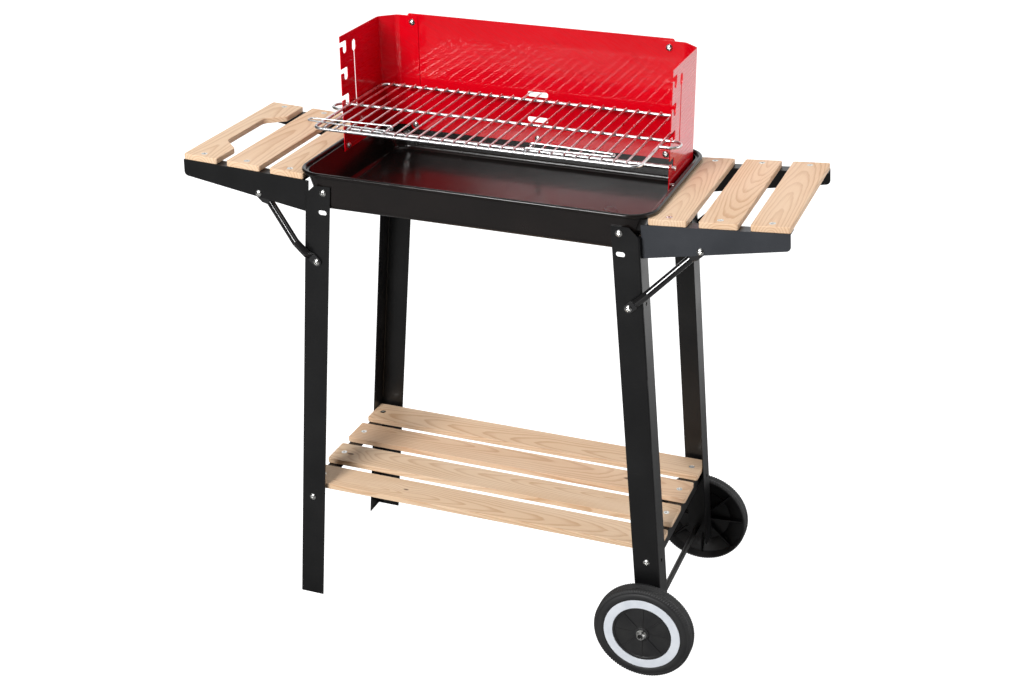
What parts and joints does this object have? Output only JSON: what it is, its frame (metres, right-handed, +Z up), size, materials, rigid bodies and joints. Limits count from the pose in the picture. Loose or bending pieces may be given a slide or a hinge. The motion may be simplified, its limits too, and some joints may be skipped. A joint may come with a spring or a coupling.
{
  "type": "trolley charcoal grill",
  "caption": "Rectangular charcoal grill on a two-wheeled trolley: fire pan, windshield with hook slots, wire grate, folding-tube braced side shelves and a slatted bottom shelf.",
  "frame": {"origin": "on the ground, under the middle of the fire pan", "axes": "+X towards the wheels, +Y towards the windshield's back panel, +Z up"},
  "size_m": [0.8312, 0.3448, 0.818],
  "materials": {
    "pan_enamel": "gloss black enamel",
    "black_paint": "satin black powder coat",
    "gloss_black_tube": "gloss black paint",
    "red_enamel": "gloss red enamel",
    "wood": "pale planed pine",
    "chrome_wire": "bright chrome plating",
    "zinc_fasteners": "bright zinc",
    "tyre": "matt black",
    "white_wall": "white",
    "hub_plastic": "satin black",
    "axle_steel": "black steel"
  },
  "bodies": {
    "frame": {"axle": "axle_steel", "axle_nuts": "zinc_fasteners", "axle_spacers": "axle_steel", "bottom_slat_1": "wood", "bottom_slat_2": "wood", "bottom_slat_3": "wood", "bottom_slat_4": "wood", "bottom_slat_screws": "zinc_fasteners", "brace_bolts": "zinc_fasteners", "brace_front_left": "gloss_black_tube", "brace_front_right": "gloss_black_tube", "brace_nuts": "zinc_fasteners", "brace_rear_left": "gloss_black_tube", "brace_rear_right": "gloss_black_tube", "bracket_bolts": "zinc_fasteners", "bracket_front_left": "black_paint", "bracket_front_right": "black_paint", "bracket_nuts": "zinc_fasteners", "bracket_rear_left": "black_paint", "bracket_rear_right": "black_paint", "crossbar_bolts": "zinc_fasteners", "crossbar_left": "black_paint", "crossbar_nuts": "zinc_fasteners", "crossbar_right": "black_paint", "fire_pan": "pan_enamel", "left_slat_1": "wood", "left_slat_2": "wood", "left_slat_3": "wood", "left_slat_screws": "zinc_fasteners", "leg_front_left": "black_paint", "leg_front_right": "black_paint", "leg_rear_left": "black_paint", "leg_rear_right": "black_paint", "pan_bolts": "zinc_fasteners", "pan_nuts": "zinc_fasteners", "right_slat_1": "wood", "right_slat_2": "wood", "right_slat_3": "wood", "right_slat_screws": "zinc_fasteners", "windshield_back": "red_enamel", "windshield_bolts": "zinc_fasteners", "windshield_left": "red_enamel", "windshield_nuts": "zinc_fasteners", "windshield_right": "red_enamel"},
    "front_wheel": {"wheel_front_hub": "hub_plastic", "wheel_front_ring": "white_wall", "wheel_front_tyre": "tyre"},
    "rear_wheel": {"wheel_rear_hub": "hub_plastic", "wheel_rear_ring": "white_wall", "wheel_rear_tyre": "tyre"},
    "grate": {"grate": "chrome_wire"},
    "left_handle": {"grate_handle_left": "chrome_wire"},
    "right_handle": {"grate_handle_right": "chrome_wire"},
    "support_rod": {"support_rod": "chrome_wire"}
  },
  "joints": [
    {"name": "front_wheel_spin", "type": "hinge", "parent": "frame", "child": "front_wheel", "pos_m": [0.2554, -0.1495, 0.07], "axis": [0, 1, 0], "continuous": true},
    {"name": "rear_wheel_spin", "type": "hinge", "parent": "frame", "child": "rear_wheel", "pos_m": [0.2554, 0.1605, 0.07], "axis": [0, 1, 0], "continuous": true},
    {"name": "grate_tilt", "type": "hinge", "parent": "frame", "child": "grate", "pos_m": [0, 0.107, 0.719], "axis": [-1, 0, 0], "range_deg": [0, 6]},
    {"name": "left_handle_fold", "type": "hinge", "parent": "grate", "child": "left_handle", "pos_m": [-0.127, -0.09, 0.722], "axis": [0, 1, 0], "range_deg": [0, 140]},
    {"name": "right_handle_fold", "type": "hinge", "parent": "grate", "child": "right_handle", "pos_m": [0.0698, -0.09, 0.722], "axis": [0, -1, 0], "range_deg": [0, 140]},
    {"name": "support_rod_lift", "type": "slide", "parent": "frame", "child": "support_rod", "axis": [0, 0, 1], "range_m": [0, 0.01]}
  ]
}
